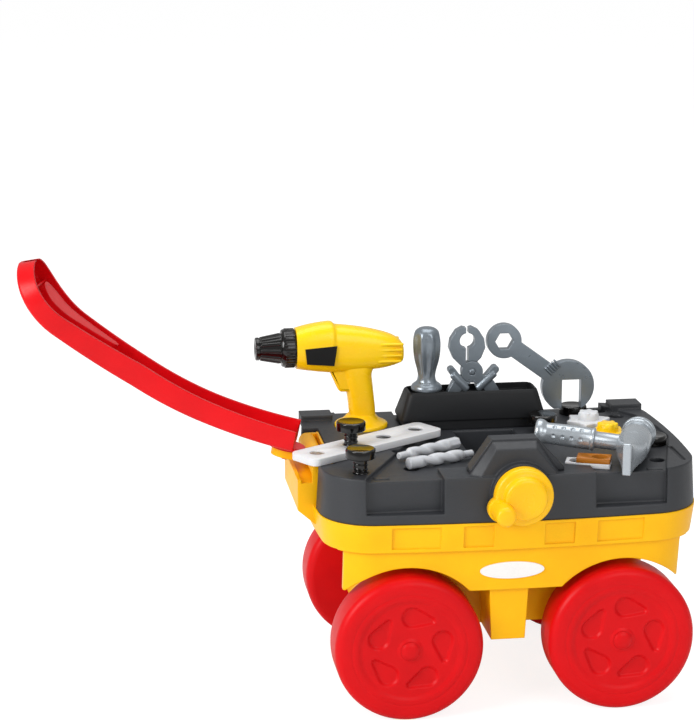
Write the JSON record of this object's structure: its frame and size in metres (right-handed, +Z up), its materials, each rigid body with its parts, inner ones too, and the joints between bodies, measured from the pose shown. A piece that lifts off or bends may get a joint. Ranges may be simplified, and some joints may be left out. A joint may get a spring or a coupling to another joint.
{
  "type": "toy tool bench",
  "caption": "Wheeled toy tool bench: pull handle, tub, lift-off lid with a working vice, tool rack, and loose toy tools, bolts, plates, nuts and bits.",
  "frame": {"origin": "on the floor, under the middle of the whole outline with the handle at rest", "axes": "+X along the bench away from the pull handle, +Y away from the side with the vice crank, +Z up"},
  "size_m": [0.5435, 0.2574, 0.3537],
  "materials": {
    "tub_yellow": "satin yellow moulded plastic",
    "red": "satin red moulded plastic",
    "badge": "plain white film",
    "steel": "drawn steel rod",
    "lid_grey": "fine-textured dark grey plastic",
    "rack_black": "fine-textured near-black plastic",
    "crank_yellow": "glossy yellow plastic",
    "drill_yellow": "glossy yellow plastic",
    "label": "black film with a pale border",
    "gloss_black": "glossy near-black plastic",
    "tool_grey": "metallic grey plastic",
    "hammer_grey": "light metallic grey plastic",
    "white": "pale grey-white plastic",
    "amber": "amber plastic"
  },
  "bodies": {
    "chassis": {"tub": "tub_yellow", "oval_badge": "badge", "axle_front": "steel", "axle_rear": "steel", "hub_caps": "red"},
    "lid": {"lid": "lid_grey", "tool_rack": "rack_black"},
    "wheel_front_left": {"wheel_front_left": "red"},
    "wheel_front_right": {"wheel_front_right": "red"},
    "wheel_rear_left": {"wheel_rear_left": "red"},
    "wheel_rear_right": {"wheel_rear_right": "red"},
    "hitch": {"hitch_drum": "red"},
    "handle": {"handle": "red"},
    "crank": {"vice_crank": "crank_yellow", "vice_screw": "rack_black", "vice_retainer": "rack_black"},
    "jaw": {"vice_jaw": "lid_grey"},
    "drill": {"drill_body": "drill_yellow", "drill_label": "label"},
    "chuck": {"drill_chuck": "gloss_black", "drill_spindle": "steel"},
    "screwdriver": {"screwdriver": "tool_grey"},
    "pliers": {"pliers_half_front": "tool_grey", "pliers_pin": "tool_grey"},
    "pliers_arm": {"pliers_half_back": "tool_grey"},
    "wrench": {"wrench": "tool_grey"},
    "hammer": {"hammer_handle": "hammer_grey", "hammer_head": "hammer_grey"},
    "bolt_1": {"bolt_1": "gloss_black"},
    "bolt_2": {"bolt_2": "gloss_black"},
    "bolt_3": {"bolt_3": "gloss_black"},
    "bolt_4": {"bolt_4": "gloss_black"},
    "bolt_5": {"bolt_5": "gloss_black"},
    "plate": {"perforated_plate": "white"},
    "strip_grey": {"strip_grey": "white"},
    "strip_amber": {"strip_amber": "amber"},
    "star_nut_white": {"star_nut_white": "white"},
    "star_nut_yellow": {"star_nut_yellow": "drill_yellow"},
    "bit_hex": {"drill_bit_hex": "white"},
    "bit_twist": {"drill_bit_twist": "white"}
  },
  "joints": [
    {"name": "wheel_front_left_spin", "type": "hinge", "parent": "chassis", "child": "wheel_front_left", "pos_m": [0.028, -0.0767, 0.06], "axis": [0, 1, 0], "continuous": true},
    {"name": "wheel_front_right_spin", "type": "hinge", "parent": "chassis", "child": "wheel_front_right", "pos_m": [0.028, 0.1073, 0.06], "axis": [0, 1, 0], "continuous": true},
    {"name": "wheel_rear_left_spin", "type": "hinge", "parent": "chassis", "child": "wheel_rear_left", "pos_m": [0.201, -0.0767, 0.06], "axis": [0, 1, 0], "continuous": true},
    {"name": "wheel_rear_right_spin", "type": "hinge", "parent": "chassis", "child": "wheel_rear_right", "pos_m": [0.201, 0.1073, 0.06], "axis": [0, 1, 0], "continuous": true},
    {"name": "handle_lift", "type": "hinge", "parent": "chassis", "child": "hitch", "pos_m": [-0.0348, 0.0153, 0.1923], "axis": [0, 1, 0], "range_deg": [0, 45]},
    {"name": "handle_swing", "type": "hinge", "parent": "hitch", "child": "handle", "pos_m": [-0.0565, 0.0153, 0.20328], "axis": [0.2079, 0, 0.9781], "range_deg": [-5, 29]},
    {"name": "lid_lift", "type": "slide", "parent": "chassis", "child": "lid", "axis": [0, 0, 1], "range_m": [0, 0.07]},
    {"name": "crank_turn", "type": "hinge", "parent": "lid", "child": "crank", "pos_m": [0.1155, -0.0997, 0.187], "axis": [0, -1, 0], "range_deg": [0, 1125]},
    {"name": "jaw_slide", "type": "slide", "parent": "lid", "child": "jaw", "axis": [0, 1, 0], "range_m": [0, 0.025]},
    {"name": "drill_lift", "type": "slide", "parent": "lid", "child": "drill", "axis": [0, 0, 1], "range_m": [0, 0.05]},
    {"name": "chuck_spin", "type": "hinge", "parent": "drill", "child": "chuck", "pos_m": [-0.0555, 0.0743, 0.27], "axis": [1, 0, 0], "continuous": true},
    {"name": "screwdriver_lift", "type": "slide", "parent": "lid", "child": "screwdriver", "axis": [0, 0, 1], "range_m": [0, 0.05]},
    {"name": "pliers_lift", "type": "slide", "parent": "lid", "child": "pliers", "axis": [0, 0, 1], "range_m": [0, 0.05]},
    {"name": "pliers_open", "type": "hinge", "parent": "pliers", "child": "pliers_arm", "pos_m": [0.109, 0.0763, 0.2442], "axis": [0, 1, 0], "range_deg": [-3, 12]},
    {"name": "bolt_4_lift", "type": "slide", "parent": "lid", "child": "bolt_4", "axis": [0, 0, 1], "range_m": [0, 0.04]},
    {"name": "wrench_lift", "type": "slide", "parent": "bolt_4", "child": "wrench", "axis": [0, 0, 1], "range_m": [0, 0.03]},
    {"name": "hammer_lift", "type": "slide", "parent": "lid", "child": "hammer", "axis": [0, 0, 1], "range_m": [0, 0.04]},
    {"name": "plate_lift", "type": "slide", "parent": "lid", "child": "plate", "axis": [0, 0, 1], "range_m": [0, 0.03]},
    {"name": "bolt_1_lift", "type": "slide", "parent": "plate", "child": "bolt_1", "axis": [0, 0, 1], "range_m": [0, 0.04]},
    {"name": "bolt_2_lift", "type": "slide", "parent": "lid", "child": "bolt_2", "axis": [0, 0, 1], "range_m": [0, 0.04]},
    {"name": "bolt_3_lift", "type": "slide", "parent": "lid", "child": "bolt_3", "axis": [0, 0, 1], "range_m": [0, 0.04]},
    {"name": "bolt_5_lift", "type": "slide", "parent": "lid", "child": "bolt_5", "axis": [0, 0, 1], "range_m": [0, 0.04]},
    {"name": "strip_grey_lift", "type": "slide", "parent": "lid", "child": "strip_grey", "axis": [0, 0, 1], "range_m": [0, 0.02]},
    {"name": "strip_amber_lift", "type": "slide", "parent": "strip_grey", "child": "strip_amber", "axis": [0, 0, 1], "range_m": [0, 0.02]},
    {"name": "star_nut_white_lift", "type": "slide", "parent": "lid", "child": "star_nut_white", "axis": [0, 0, 1], "range_m": [0, 0.03]},
    {"name": "star_nut_yellow_lift", "type": "slide", "parent": "lid", "child": "star_nut_yellow", "axis": [0, 0, 1], "range_m": [0, 0.03]},
    {"name": "bit_hex_lift", "type": "slide", "parent": "lid", "child": "bit_hex", "axis": [0, 0, 1], "range_m": [0, 0.03]},
    {"name": "bit_twist_lift", "type": "slide", "parent": "lid", "child": "bit_twist", "axis": [0, 0, 1], "range_m": [0, 0.03]}
  ],
  "couplings": [
    {"joint": "jaw_slide", "follows": "crank_turn", "m_per_rad": 0.0012732}
  ]
}
